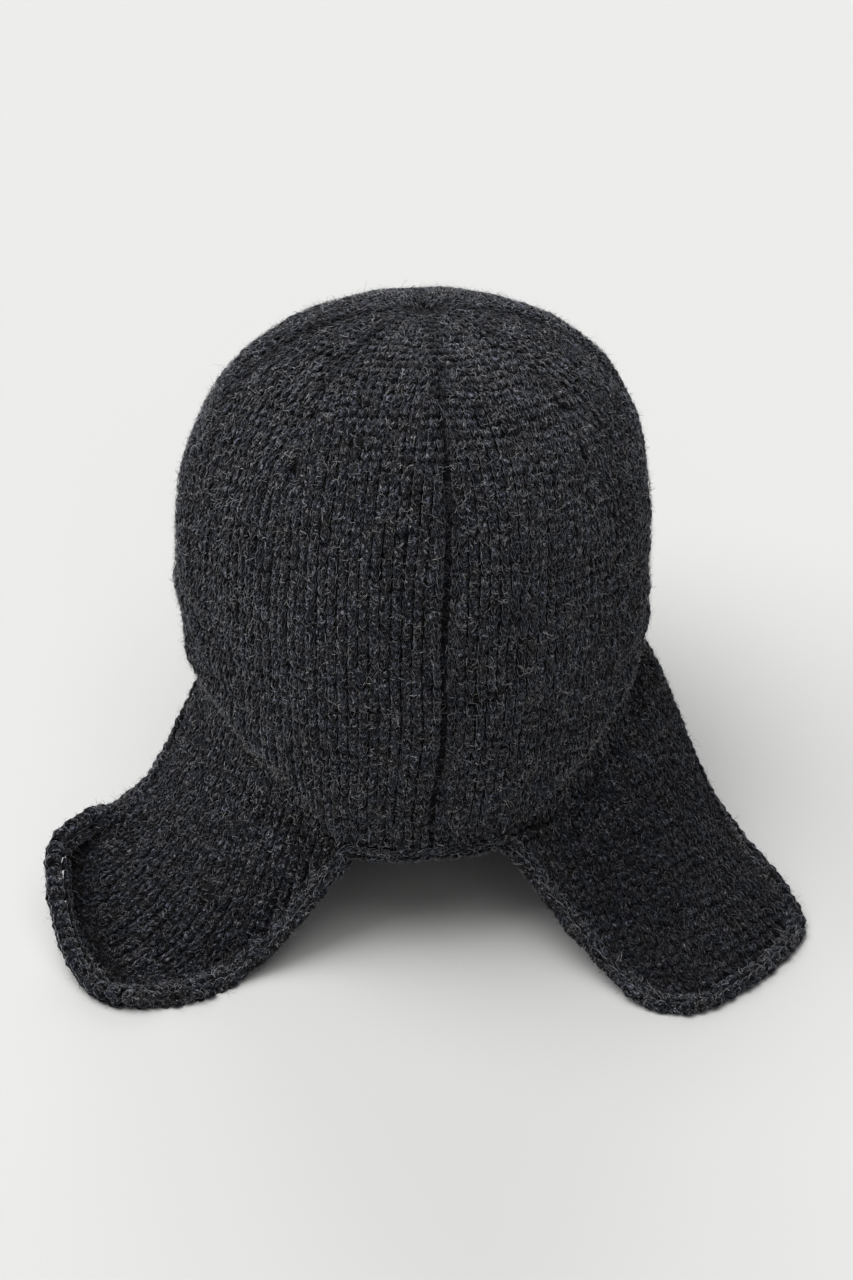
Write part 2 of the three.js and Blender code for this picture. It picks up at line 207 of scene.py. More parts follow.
wale_gore = np.repeat(np.arange(len(gore_wales)), gore_wales)
wale_number = np.concatenate([np.arange(n) for n in gore_wales])
wale_step = np.diff(gore_edges)[wale_gore] / gore_wales[wale_gore]
gore_middle = ((gore_edges[1:] + gore_edges[:-1]) / 2)[wale_gore]
wale_offset = (wale_number + 0.5 - gore_wales[wale_gore] / 2) * wale_step
wale_angle = gore_middle + wale_offset
wale_count = len(wale_angle)


def path_lengths(points):
    """Length travelled along each of many polylines at each of their points."""
    steps = np.linalg.norm(np.diff(points, axis=1), axis=2)
    return np.concatenate([np.zeros((len(points), 1)), np.cumsum(steps, 1)], 1)


def path_places(travelled, wanted):
    """Where each wanted length lies along each polyline, as a point number with a fraction."""
    index = (travelled[:, None, :] <= wanted[:, :, None]).sum(2) - 1
    index = np.clip(index, 0, travelled.shape[1] - 2)
    row = np.arange(len(travelled))[:, None]
    span = travelled[row, index + 1] - travelled[row, index]
    return index + np.clip((wanted - travelled[row, index]) / np.maximum(span, 1e-12), 0, 1)


def at_places(values, places):
    """Values of each polyline's points, read between its points in proportion."""
    index = np.minimum(places.astype(int), values.shape[1] - 2)
    row = np.arange(len(values))[:, None]
    share = places - index
    if values.ndim == 3:
        share = share[..., None]
    return values[row, index] * (1 - share) + values[row, index + 1] * share


# Upper courses are rings that the tip and the widest level share out evenly along the dome.
# Each wale keeps its distance from the middle of its gore until a narrowing line takes it in.
ramp = np.linspace(0, 1, 400)
ramp_down = ramp**1.3 / (ramp**1.3 + (1 - ramp) ** 1.3)
dome_line = crown_point(62.0, ramp_down)[None]
dome_travelled = path_lengths(dome_line)[0]
upper_courses = int(round(dome_travelled[-1] / course_height))
upper_height = dome_travelled[-1] / upper_courses
upper_lengths = (np.arange(upper_courses) + 0.5) * upper_height
upper_down = np.interp(upper_lengths, dome_travelled, ramp_down)
upper_share = np.sin(np.radians(upper_down * 90)) ** (2 / crown_roundness)


def wale_place(share):
    """Turn from the gore's middle and width, both in wales, at a given share of the widest girth. A
    wale is one pitch wide until the narrowing line cuts it, and then tapers away along the line."""
    squeeze = 0.86 + 0.14 * share
    number = (wale_offset / wale_step)[:, None]
    extent = (np.diff(gore_edges)[wale_gore] / 2 / wale_step)[:, None] * share / squeeze
    near = np.maximum(number - 0.5, -extent)
    far = np.minimum(number + 0.5, extent)
    return (near + far) / 2 * wale_step[:, None] * squeeze / share, (far - near) * squeeze


upper_turn, upper_part = wale_place(upper_share)
upper_here = upper_part > 0.32
upper_angle = gore_middle[:, None] + upper_turn


def crown_frame(angle, down, angle_above, down_above):
    """Centre, upward direction and normal of stitches on the crown."""
    centre = crown_point(angle, down)
    normal = crown_normal(angle, down)
    up = unit(crown_point(angle_above, down_above) - centre)
    up = unit(up - (up * normal).sum(-1, keepdims=True) * normal)
    return centre, up, normal


shift = 0.004
upper_beside = np.clip(upper_down - shift, 0.002, 1)
share_beside = np.sin(np.radians(upper_beside * 90)) ** (2 / crown_roundness)
angle_beside = gore_middle[:, None] + wale_place(share_beside)[0]
upper_centre, upper_up, upper_normal = crown_frame(
    upper_angle, upper_down[None] + 0 * upper_angle, angle_beside, upper_beside[None] + 0 * upper_angle
)
upper_width = np.radians(wale_step)[:, None] * crown_half_width * upper_part

# Lower courses are counted in yarn lengths down from the widest level, so that they run on into
# the earflaps without a step.
lower_down = np.linspace(1, 2, 61)
lower_grid = np.meshgrid(lower_down, wale_angle)[::-1]
lower_path = crown_point(*lower_grid)
lower_path_normal = crown_normal(*lower_grid)
lower_travelled = path_lengths(lower_path)
lower_total = lower_travelled[:, -1]
lower_courses = int(np.ceil(lower_total.max() / course_height))
lower_wanted = (np.arange(lower_courses) + 0.5)[None] * course_height + 0 * wale_angle[:, None]
lower_places = path_places(lower_travelled, lower_wanted)
lower_centre = at_places(lower_path, lower_places)
lower_normal = unit(at_places(lower_path_normal, lower_places))
lower_above = at_places(lower_path, np.maximum(lower_places - 0.5, 0))
lower_up = unit(lower_above - at_places(lower_path, lower_places + 0.5))
lower_path_width = np.linalg.norm(np.roll(lower_path, -1, 0) - np.roll(lower_path, 1, 0), axis=2) / 2
lower_width = at_places(lower_path_width, lower_places)
edge_margin = 0.0006
lower_here = lower_wanted < lower_total[:, None] - edge_margin


def wandering(rows, columns, reach, seed):
    """Random values from 0 to 1 for a grid, smoothed along each row over the given reach."""
    raw = np.random.default_rng(seed).normal(size=(rows, columns + 2 * reach))
    weights = np.hanning(2 * reach + 3)[1:-1]
    weights = weights / np.sqrt((weights**2).sum())
    smooth = sum(w * raw[:, k : k + columns] for k, w in enumerate(weights))
    return 0.5 + 0.5 * np.tanh(smooth)


# Grooves between the wales are deeper in the lower half, and some wales stand apart more than others
course_count = upper_courses + lower_courses
shallow_course, deep_course = 0.15 * upper_courses, 0.8 * upper_courses
groove_depth = np.interp(np.arange(course_count), [shallow_course, deep_course], [0.4, 1.0])
own_groove = np.random.default_rng(5).uniform(0.1, 1.2, (wale_count, 1))
wandering_groove = 0.85 * own_groove + 0.5 * wandering(wale_count, course_count, 3, 6)
wale_groove = groove_depth * np.clip(wandering_groove, 0, 1.4)
wale_groove[np.searchsorted(wale_angle, 0)] = 1.5
next_groove = np.roll(wale_groove, -1, 0)

# Painted shade: the yarn's colour is darkened along the seam, along the two folds, in the gathers round the
# tip and in the dent below the roll over each flap
fold_shade_width = 0.004
gather_shade_width = 0.0026
tip_shade_radius = 0.007


def dome_shade(turn, half_width):
    """Shade beside a line on the dome: the bell curve of the way round from it, in half widths."""
    return bell(np.radians(turn) * crown_half_width * upper_share / half_width)


seam_shade = dome_shade(upper_angle, seam_half_width)
fold_shade = dome_shade(np.abs(upper_angle) - fold_angle, fold_shade_width)
fold_shade = fold_shade * ease((0.75 - upper_down) / 0.4) * ease((upper_down - 0.06) / 0.1)
nearest_line = np.abs(upper_angle[:, None] - gore_edges[None, :, None]).min(1)
gather_shade = dome_shade(nearest_line, gather_shade_width) * ease((0.6 - upper_down) / 0.4)
tip_shade = bell(crown_half_width * upper_share / tip_shade_radius)
upper_shade = 0.6 * seam_shade + 0.65 * fold_shade + 0.55 * gather_shade + 0.7 * tip_shade
upper_shade = np.clip(upper_shade, 0, 1)
lower_seam_away = np.radians(wale_angle) * crown_half_width / seam_half_width
lower_shade = 0.6 * bell(lower_seam_away)[:, None] + 0 * lower_wanted
roll_drop = rim_value(wale_angle, "crease")[:, None] - rim_value(wale_angle, "edge")[:, None] * (
    np.interp(lower_places, np.arange(len(lower_down)), lower_down) - 1
)
over_flap = np.clip(rim_value(wale_angle, "flare"), 0, 1)[:, None]
lower_shade = np.clip(lower_shade + 0.12 * bell((roll_drop - 0.009) / 0.006) * over_flap, 0, 1)

# Painted highlight: fibres are made paler where the dome rolls out over the flaps, for the light that the
# fuzz on the roll catches
upper_painted_highlight = np.zeros(upper_shade.shape)
lower_painted_highlight = bell((roll_drop - 0.001) / 0.007) * over_flap


def cloudy(points, size, seed):
    """Smooth random value about -1 to 1 at each point: the mean of eight cosines whose waves are near
    the given size and run in random directions."""
    rng = np.random.default_rng(seed)
    waves = unit(rng.normal(size=(8, 3))) * (2 * np.pi / size) * rng.uniform(0.6, 1.5, (8, 1))
    return np.cos(points @ waves.T + rng.uniform(0, 2 * np.pi, 8)).sum(-1) / 3.2


def scene_object(name, data):
    """A new object of the scene."""
    thing = bpy.data.objects.new(name, data)
    bpy.context.scene.collection.objects.link(thing)
    return thing


def mesh_piece(name, points, triangles, yarn, painted_hollow_shade, material):
    """A shown piece from whole arrays of points and triangles. Yarn is each point's place on the
    strand, along and round it, with the strand's shade; painted_hollow_shade is how far painted
    shade darkens its colour where it lies deep, 0 to 1."""
    mesh = bpy.data.meshes.new(name)
    mesh.vertices.add(len(points))
    mesh.vertices.foreach_set("co", np.ascontiguousarray(points, np.float32).ravel())
    mesh.loops.add(triangles.size)
    mesh.loops.foreach_set("vertex_index", np.ascontiguousarray(triangles, np.int32).ravel())
    mesh.polygons.add(len(triangles))
    mesh.polygons.foreach_set("loop_start", np.arange(0, triangles.size, 3, dtype=np.int32))
    mesh.polygons.foreach_set("use_smooth", np.ones(len(triangles), bool))
    place = mesh.attributes.new("yarn", "FLOAT_VECTOR", "POINT")
    place.data.foreach_set("vector", np.ascontiguousarray(yarn, np.float32).ravel())
    depth = mesh.attributes.new("painted_hollow_shade", "FLOAT", "POINT")
    depth.data.foreach_set("value", np.ascontiguousarray(painted_hollow_shade, np.float32).ravel())
    mesh.update(calc_edges=True)
    mesh.validate()
    mesh.materials.append(material)
    return scene_object(name, mesh)


# One leg of a stitch is a grain of yarn, round on top and flat underneath: rings of five points
# between two end points, fat in the middle and sunk at the ends.
leg_rings = np.array([0.16, 0.50, 0.84])
leg_sides = np.radians([-22, 36, 90, 144, 202])
leg_rows = len(leg_rings)
leg_columns = len(leg_sides)
leg_points = leg_rows * leg_columns + 2


def leg_triangles():
    """Triangles of one leg: a tube of rings, closed by a fan at each end."""
    ring = np.arange(leg_rows * leg_columns).reshape(leg_rows, leg_columns)
    ahead = np.roll(ring, -1, 1)
    sides = [
        np.stack([ring[:-1], ahead[:-1], ahead[1:]], -1).reshape(-1, 3),
        np.stack([ring[:-1], ahead[1:], ring[1:]], -1).reshape(-1, 3),
    ]
    foot, head = leg_rows * leg_columns, leg_rows * leg_columns + 1
    lower = np.stack([0 * ring[0] + foot, ahead[0], ring[0]], -1)
    upper = np.stack([0 * ring[0] + head, ring[-1], ahead[-1]], -1)
    return np.concatenate([*sides, lower, upper])


def stitch_legs(cloth, seed, sink=0.0009, plump=0.235, length=1.42):
    """Both legs of every stitch. A leg runs from the foot of the V, near the middle of the wale, to
    its head near the wale's side: x goes from 0.05 to 0.36 of the wale's width while y climbs the
    given number of courses. Its radius is plump times the width times the root of the sine of its
    length, and its middle stands up by the sine. A groove draws the leg in and down at that side."""
    rng = np.random.default_rng(seed)
    centre, up, normal, width, height = (cloth[k] for k in ("centre", "up", "normal", "width", "height"))
    count = len(centre)
    side = np.cross(up, normal)
    tilt = np.radians(rng.normal(0, 4.5, count))[:, None]
    up, side = np.cos(tilt) * up + np.sin(tilt) * side, np.cos(tilt) * side - np.sin(tilt) * up
    centre = centre + side * rng.normal(0, 0.00014, count)[:, None]
    drift = rng.normal(0, 0.00040, count) + 0.00075 * cloudy(centre, 0.016, 4)
    centre = centre + up * drift[:, None]
    centre = centre + normal * (0.00028 * cloudy(centre, 0.011, 3) + rng.normal(0, 0.00010, count))[:, None]
    t = np.concatenate([leg_rings, [0.0, 1.0]])
    rise = np.sin(np.pi * t)
    points, yarn, painted_hollow_shade, faces = [], [], [], []
    for hand, groove in ((1, cloth["groove_right"]), (-1, cloth["groove_left"])):
        fat = plump * width * (1 + rng.normal(0, 0.09, count))
        lift = rng.normal(0, 0.00014, count)
        reach = length * (1 + rng.normal(0, 0.06, count)) * height
        across = (0.05 + 0.31 * ease(0.12 + 0.8 * t))[None] * (1 - 0.24 * groove)[:, None]
        x = hand * across * width[:, None]
        y = (t - 0.5)[None] * reach[:, None]
        z = lift[:, None] - sink + (0.0007 * rise - 0.00055)[None] - 0.0009 * groove[:, None] * t[None]
        lean = np.stack([reach, -hand * 0.34 * width], -1)
        lean = lean / np.linalg.norm(lean, axis=-1, keepdims=True)
        radius = (fat[:, None] * np.sqrt(rise)[None])[:, :leg_rows, None]
        local_x = x[:, :leg_rows, None] + radius * np.cos(leg_sides) * lean[:, 0, None, None]
        local_y = y[:, :leg_rows, None] + radius * np.cos(leg_sides) * lean[:, 1, None, None]
        local_z = z[:, :leg_rows, None] + radius * 0.92 * np.sin(leg_sides)
        flat = (count, leg_rows * leg_columns)
        all_x = np.concatenate([local_x.reshape(flat), x[:, leg_rows:]], 1)
        all_y = np.concatenate([local_y.reshape(flat), y[:, leg_rows:]], 1)
        all_z = np.concatenate([local_z.reshape(flat), z[:, leg_rows:]], 1)
        placed = centre[:, None] + all_x[..., None] * side[:, None] + all_y[..., None] * up[:, None]
        points.append((placed + all_z[..., None] * normal[:, None]).reshape(-1, 3))
        ring_t = np.concatenate([np.repeat(leg_rings, leg_columns), [0.0, 1.0]])
        ring_turn = np.concatenate([np.tile(leg_sides, leg_rows), [-0.4, -0.4]])
        shade = rng.uniform(0, 1, (count, 1)) + 0 * ring_t[None]
        along = ring_t[None] * reach[:, None] + rng.uniform(0, 0.4, (count, 1))
        yarn.append(np.stack([along, ring_turn[None] * fat[:, None] * hand, shade], -1).reshape(-1, 3))
        # Painted shade: the yarn's colour is darkened on each leg's sides and ends, in the grooves between
        # the wales and where the cloth is shaded.
        crest = np.clip(0.25 + 0.75 * np.sin(ring_turn), 0, 1)
        own = 1 - crest * np.sin(np.pi * np.clip(ring_t, 0.12, 0.9))
        outer = groove[:, None] * ring_t[None] * np.clip(np.cos(ring_turn), 0, 1)[None] * 0.9
        painted_hollow_shade.append(np.clip(own[None] + outer + cloth["shade"][:, None], 0, 1).ravel())
        triangles = leg_triangles()[:, ::-1] if hand > 0 else leg_triangles()
        first = (np.arange(count) + len(faces) * count)[:, None, None] * leg_points
        faces.append((triangles[None] + first).reshape(-1, 3))
    return np.concatenate(points), np.concatenate(faces), np.concatenate(yarn), np.concatenate(painted_hollow_shade)


def joined(*cloths):
    """Stitches of several cloths as one."""
    return {name: np.concatenate([cloth[name] for cloth in cloths]) for name in cloths[0]}


def fill_ramp(ramp, stops):
    """Gives a colour ramp its places and colours."""
    while len(ramp.elements) < len(stops):
        ramp.elements.new(0.5)
    for element, (place, colour) in zip(ramp.elements, stops):
        element.position = place
        element.color = (*colour, 1)


# The yarn is carded from near-black, mid-grey and pale fibres, with a few white, blue and brown
# specks. Fibres lie along the strand with a slight twist, under a felted nap that crosses them.
def heather_wool_group():
    """Colour and height of heather wool. Yarn is the place on the strand in metres with the strand's
    own shade, place the place on the piece, and the third input how far painted shade darkens the
    colour where the yarn lies deep. Stretched noise makes the strand's fibres, the edges of bent
    cells the nap's, wide noise the cloudiness, and small cells the specks."""
    group = bpy.data.node_groups.new("heather_wool", "ShaderNodeTree")
    kinds = {"Yarn": "NodeSocketVector", "Place": "NodeSocketVector", "Painted_Hollow_Shade": "NodeSocketFloat"}
    for name, kind in kinds.items():
        group.interface.new_socket(name, in_out="INPUT", socket_type=kind)
    group.interface.new_socket("Color", in_out="OUTPUT", socket_type="NodeSocketColor")
    group.interface.new_socket("Height", in_out="OUTPUT", socket_type="NodeSocketFloat")
    nodes, links = group.nodes, group.links
    given = nodes.new("NodeGroupInput")
    result = nodes.new("NodeGroupOutput")

    def noise(vector, scale, detail, rough=0.6, distortion=0.0):
        node = nodes.new("ShaderNodeTexNoise")
        node.inputs["Scale"].default_value = scale
        node.inputs["Detail"].default_value = detail
        node.inputs["Roughness"].default_value = rough
        node.inputs["Distortion"].default_value = distortion
        links.new(vector, node.inputs["Vector"])
        return node.outputs["Fac"]

    def ramp_of(value, stops):
        node = nodes.new("ShaderNodeValToRGB")
        fill_ramp(node.color_ramp, stops)
        links.new(value, node.inputs["Fac"])
        return node.outputs["Color"]

    def feed(socket, value):
        if isinstance(value, (int, float)):
            socket.default_value = value
        elif isinstance(value, tuple):
            socket.default_value = (*value, 1)
        else:
            links.new(value, socket)

    def maths(operation, a, b):
        node = nodes.new("ShaderNodeMath")
        node.operation = operation
        feed(node.inputs[0], a)
        feed(node.inputs[1], b)
        return node.outputs["Value"]

    def mixed(kind, factor, a, b):
        node = nodes.new("ShaderNodeMix")
        node.data_type = "RGBA"
        node.blend_type = kind
        feed(node.inputs[0], factor)
        feed(node.inputs[6], a)
        feed(node.inputs[7], b)
        return node.outputs[2]

    parts = nodes.new("ShaderNodeSeparateXYZ")
    links.new(given.outputs["Yarn"], parts.inputs[0])
    twisted = maths("ADD", parts.outputs["Y"], maths("MULTIPLY", parts.outputs["X"], 0.45))
    strand = nodes.new("ShaderNodeCombineXYZ")
    links.new(maths("MULTIPLY", parts.outputs["X"], 380.0), strand.inputs["X"])
    links.new(maths("MULTIPLY", twisted, 1500.0), strand.inputs["Y"])
    links.new(maths("MULTIPLY", parts.outputs["Z"], 60.0), strand.inputs["Z"])
    fibres = noise(strand.outputs[0], 1.0, 1.5, 0.6, 0.7)
    nap = noise(given.outputs["Place"], 900.0, 2.0, 0.65, 1.3)
    blend = maths("ADD", maths("MULTIPLY", fibres, 0.35), maths("MULTIPLY", nap, 0.65))
    fibre_stops = [
        (0.41, (0.0012, 0.0012, 0.0015)),
        (0.47, (0.0055, 0.0056, 0.0066)),
        (0.52, (0.0200, 0.0205, 0.0235)),
        (0.57, (0.0700, 0.0715, 0.0800)),
        (0.64, (0.2600, 0.2640, 0.2800)),
    ]
    fibre_colour = ramp_of(blend, fibre_stops)
    cloud = noise(given.outputs["Place"], 70.0, 3.0)
    tone = maths("ADD", maths("MULTIPLY", cloud, 0.75), maths("MULTIPLY", parts.outputs["Z"], 0.35))
    tone_stops = [(0.3, (0.55, 0.55, 0.55)), (0.85, (1.5, 1.5, 1.5))]
    toned = mixed("MULTIPLY", 1.0, fibre_colour, ramp_of(tone, tone_stops))
    hue = noise(given.outputs["Place"], 130.0, 1.0)
    hue_stops = [(0.38, (0.93, 0.97, 1.17)), (0.50, (0.99, 1.0, 1.06)), (0.64, (1.08, 1.0, 0.95))]
    tinted = mixed("MULTIPLY", 1.0, toned, ramp_of(hue, hue_stops))

    cells = nodes.new("ShaderNodeTexVoronoi")
    cells.inputs["Scale"].default_value = 210.0
    links.new(given.outputs["Place"], cells.inputs["Vector"])
    chosen = nodes.new("ShaderNodeSeparateColor")
    links.new(cells.outputs["Color"], chosen.inputs[0])
    near = maths("LESS_THAN", cells.outputs["Distance"], 0.13)
    picked = maths("GREATER_THAN", chosen.outputs["Red"], 0.88)
    speck = maths("MULTIPLY", near, picked)
    speck_stops = [
        (0.00, (0.42, 0.43, 0.45)),
        (0.45, (0.12, 0.15, 0.24)),
        (0.70, (0.17, 0.12, 0.08)),
        (1.00, (0.55, 0.55, 0.54)),
    ]
    speck_colour = ramp_of(chosen.outputs["Green"], speck_stops)
    speckled = mixed("MIX", maths("MULTIPLY", speck, 0.75), tinted, speck_colour)
    # Painted shade: the colour is darkened toward near-black where the yarn lies deep and along the shaded
    # lines of the cloth.
    painted_shaded_colour = mixed("MULTIPLY", given.outputs["Painted_Hollow_Shade"], speckled, (0.12, 0.12, 0.13))
    links.new(painted_shaded_colour, result.inputs["Color"])
    links.new(blend, result.inputs["Height"])
    return group


heather_wool = heather_wool_group()


def wool_material(name, sheen, depth=1.0):
    """Dry, matt wool: the heather group drives its colour and its bump, and sheen is its hairy rim.
    A depth below 1 darkens the yarn and one above 1 lightens it. The crown, the flaps and the border are
    copies of one yarn at different depths: painted light and shade."""
    material = bpy.data.materials.new(name)
    material.use_nodes = True
    nodes, links = material.node_tree.nodes, material.node_tree.links
    nodes.clear()
    output = nodes.new("ShaderNodeOutputMaterial")
    shader = nodes.new("ShaderNodeBsdfPrincipled")
    shader.inputs["Roughness"].default_value = 0.95
    shader.inputs["Specular IOR Level"].default_value = 0.1
    shader.inputs["Sheen Weight"].default_value = sheen
    shader.inputs["Sheen Roughness"].default_value = 0.3
    shader.inputs["Sheen Tint"].default_value = (0.60, 0.62, 0.67, 1)
    wool = nodes.new("ShaderNodeGroup")
    wool.node_tree = heather_wool
    for attribute, kind, socket in (("yarn", "Vector", "Yarn"), ("painted_hollow_shade", "Fac", "Painted_Hollow_Shade")):
        read = nodes.new("ShaderNodeAttribute")
        read.attribute_name = attribute
        links.new(read.outputs[kind], wool.inputs[socket])
    place = nodes.new("ShaderNodeTexCoord")
    links.new(place.outputs["Object"], wool.inputs["Place"])
    relief = nodes.new("ShaderNodeBump")
    relief.inputs["Strength"].default_value = 0.8
    relief.inputs["Distance"].default_value = 0.0005
    links.new(wool.outputs["Height"], relief.inputs["Height"])
    links.new(relief.outputs["Normal"], shader.inputs["Normal"])
    tone_and_painted_light = nodes.new("ShaderNodeMix")
    tone_and_painted_light.data_type = "RGBA"
    tone_and_painted_light.blend_type = "MULTIPLY"
    tone_and_painted_light.inputs[0].default_value = 1.0
    tone_and_painted_light.inputs[7].default_value = (depth, depth, depth, 1)
    links.new(wool.outputs["Color"], tone_and_painted_light.inputs[6])
    links.new(tone_and_painted_light.outputs[2], shader.inputs["Base Color"])
    links.new(shader.outputs["BSDF"], output.inputs["Surface"])
    return material


# Painted light: the crown's copy of the yarn is made lighter than the flaps' and the border's.
crown_wool = wool_material("crown_heather_wool", sheen=0.8, depth=1.32)

# The crown's stitches are shared out over four panels, so that no mesh is too large
panel_edges = {
    "back_left": (-84, 0),
    "back_right": (0, 84),
    "front_right": (84, 180),
    "front_left": (-180, -84),
}
upper_fields = {
    "centre": upper_centre,
    "up": upper_up,
    "normal": upper_normal,
    "width": upper_width,
    "height": np.full(upper_here.shape, upper_height),
    "groove_left": wale_groove[:, :upper_courses],
    "groove_right": next_groove[:, :upper_courses],
    "shade": upper_shade,
    "pale_fuzz_and_painted_highlight": upper_painted_highlight,
}
lower_fields = {
    "centre": lower_centre,
    "up": lower_up,
    "normal": lower_normal,
    "width": lower_width,
    "height": np.full(lower_here.shape, course_height),
    "groove_left": wale_groove[:, upper_courses:],
    "groove_right": next_groove[:, upper_courses:],
    "shade": lower_shade,
    "pale_fuzz_and_painted_highlight": lower_painted_highlight,
}
crown_cloths = {}
for number, (panel, (first, last)) in enumerate(panel_edges.items()):
    mine = (wale_angle > first) & (wale_angle < last)
    upper_cloth = {field: values[mine][upper_here[mine]] for field, values in upper_fields.items()}
    lower_cloth = {field: values[mine][lower_here[mine]] for field, values in lower_fields.items()}
    crown_cloths[panel] = joined(upper_cloth, lower_cloth)
    points, triangles, yarn, painted_hollow_shade = stitch_legs(crown_cloths[panel], 11 + number)
    piece = mesh_piece(f"crown_stitches_{panel}", points, triangles, yarn, painted_hollow_shade, crown_wool)
    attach(piece, "root")
    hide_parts("crown")

# The back of the crown's cloth: yarn that lies behind the stitches, with painted shade darkening
# it in the gaps between them, and on the head side the small ridges of a stocking stitch's wrong
# side, darkened a little by painted shade too.


def wall_piece(name, outer, inner, closed_round, material, turn=False):
    """A closed cloth wall from a grid of outer points and one of inner points, rows by columns. Round
    walls join their last column to their first; flat ones get side strips. Both get a rim at the
    first and the last row."""
    rows, columns = outer.shape[:2]
    out_id = np.arange(rows * columns).reshape(rows, columns)
    in_id = out_id + rows * columns
    if closed_round:
        out_id = np.concatenate([out_id, out_id[:, :1]], 1)
        in_id = np.concatenate([in_id, in_id[:, :1]], 1)

    def quads(a, b, c, d):
        first_half = np.stack([a, b, c], -1).reshape(-1, 3)
        return np.concatenate([first_half, np.stack([a, c, d], -1).reshape(-1, 3)])

    faces = [
        quads(out_id[:-1, :-1], out_id[1:, :-1], out_id[1:, 1:], out_id[:-1, 1:]),
        quads(in_id[:-1, :-1], in_id[:-1, 1:], in_id[1:, 1:], in_id[1:, :-1]),
        quads(out_id[-1, :-1], in_id[-1, :-1], in_id[-1, 1:], out_id[-1, 1:]),
        quads(out_id[0, 1:], in_id[0, 1:], in_id[0, :-1], out_id[0, :-1]),
    ]
    if not closed_round:
        faces.append(quads(out_id[:-1, 0], in_id[:-1, 0], in_id[1:, 0], out_id[1:, 0]))
        faces.append(quads(out_id[1:, -1], in_id[1:, -1], in_id[:-1, -1], out_id[:-1, -1]))
    triangles = np.concatenate(faces)
    if turn:
        triangles = triangles[:, ::-1]
    points = np.concatenate([outer.reshape(-1, 3), inner.reshape(-1, 3)])
    yarn = points[:, [0, 2, 1]].copy()
    yarn[:, 2] = 0.3
    # Painted shade: the face behind the stitches is darkened strongly and the head side a little.
    painted_hollow_shade = np.concatenate([np.full(rows * columns, 0.85), np.full(rows * columns, 0.35)])
    return mesh_piece(name, points, triangles, yarn, painted_hollow_shade, material)


def purl_relief(rows, columns):
    """Height of the wrong side's ridges and knuckles, which change sign from row to row and from
    column to column."""
    ridge = np.where(np.arange(rows) % 2 == 0, 0.00035, -0.00035)[:, None]
    knuckle = np.where(np.arange(columns) % 2 == 0, 0.0002, -0.0002)[None]
    return (ridge + knuckle)[..., None]


face_depth = 0.0019
backing_wool = wool_material("backing_heather_wool", sheen=0.15)
lining_start = 0.0015
lining_dome_rows, lining_lower_rows, lining_columns = 44, 27, 160
dome_steps = np.linspace(lining_start, dome_travelled[-1], lining_dome_rows)
dome_rows = np.interp(dome_steps, dome_travelled, ramp_down)[:-1]
lining_rows = np.concatenate([dome_rows, np.linspace(1, 2, lining_lower_rows)])
lining_angles = np.arange(-180, 180, 360 / lining_columns)
lining_grid = np.meshgrid(lining_angles, lining_rows)
lining_skin, lining_normal = crown_point(*lining_grid), crown_normal(*lining_grid)
backing_outer = lining_skin - face_depth * lining_normal
backing_inner = lining_skin - (cloth_thickness + purl_relief(*lining_skin.shape[:2])) * lining_normal
backing_inner[..., 2] = np.maximum(backing_inner[..., 2], 0)
crown_backing = wall_piece("crown_wrong_side", backing_outer, backing_inner, True, backing_wool)
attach(crown_backing, "root")
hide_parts("crown")

# The two earflaps are knitted on from the crown's lower edge: their wales run on from its own
# and stop, one after another, where the flap narrows. The right one slopes to the ground, the
# left one lies down sooner and lifts its end.

earflaps = {
    "right": {
        "side": 1,
        "angles": (24.0, 102.0),
        "pull": (0.052, 0.056, 0.081),
        "splay": (1.07, 0.46, 1.19),
        "end": ((0.0915, -0.1241, 0.0032), (0.1224, -0.1074, 0.0036), (0.1481, -0.0792, 0.0032)),
        "arrive": ((0.70, -0.50, 0.0), (0.62, -0.62, -0.25), (0.66, -0.66, -0.36)),
        "push": (0.083, 0.058, 0.195),
        "corners": (0.18, 0.17, 0.12, 0.14),
        "curl": (5, 15, 20),
        "lip": 0.05,
        "end_shade": 0.42,
        "valley": (0.2, 0.4, 0.4),
        "valley_place": 0.0015,
        "valley_half_width": 0.0022,
    },
    "left": {
        "side": -1,
        "angles": (-24.0, -102.0),
        "pull": (0.086, 0.053, 0.073),
        "splay": (1.12, 0.09, 0.79),
        "end": ((-0.1199, -0.0986, 0.0032), (-0.1391, -0.0772, 0.0070), (-0.1443, -0.0356, 0.0289)),
        "arrive": ((-0.99, -0.10, 0.15), (-0.95, -0.18, -0.10), (-0.93, -0.20, 0.10)),
        "push": (0.164, 0.111, 0.124),
        "corners": (0.15, 0.18, 0.09, 0.11),
        "curl": (10, 55, 40),
        "lip": 0.40,
        "end_shade": 0.20,
        "valley": (0.1, 1.3, 1.3),
        "valley_place": 0.0030,
        "valley_half_width": 0.0055,
    },
}


def three_rows(rows, across):
    """The curve of second degree that takes the three given values at 0, a half and 1."""
    low, middle, high = np.asarray(rows, float)
    if np.ndim(low):
        across = across[..., None]
    near, far = (1 - across) * (1 - 2 * across), across * (2 * across - 1)
    return low * near + middle * 4 * across * (1 - across) + high * far


